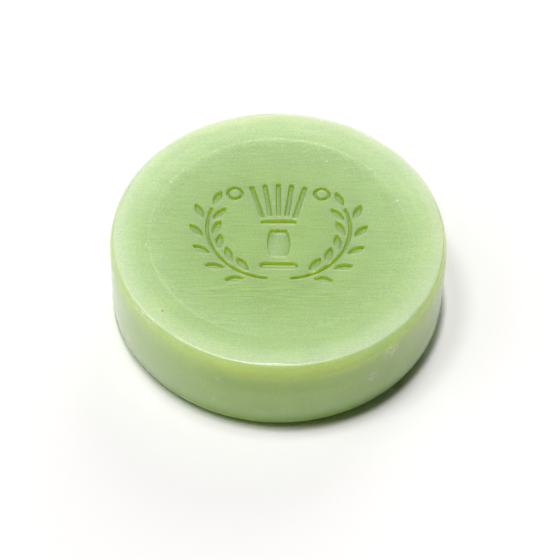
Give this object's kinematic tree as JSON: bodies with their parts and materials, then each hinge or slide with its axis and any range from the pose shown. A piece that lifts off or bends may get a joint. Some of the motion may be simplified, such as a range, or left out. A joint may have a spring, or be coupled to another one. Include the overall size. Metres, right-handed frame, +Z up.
{
  "type": "shaving soap puck",
  "caption": "Round cake of pale green shaving soap with rounded edges, a shallow dished face and a stamped emblem of a shaving brush between leaf sprigs.",
  "frame": {"origin": "centre of the flat base, on the surface that the puck rests on", "axes": "+Z up through the stamped face, +Y towards the top of the emblem, +X along the emblem's width"},
  "size_m": [0.076, 0.076, 0.0214],
  "materials": {
    "soap": "waxy satin, slightly translucent milled soap"
  },
  "bodies": {
    "root": {"soap_puck": "soap"}
  },
  "joints": []
}
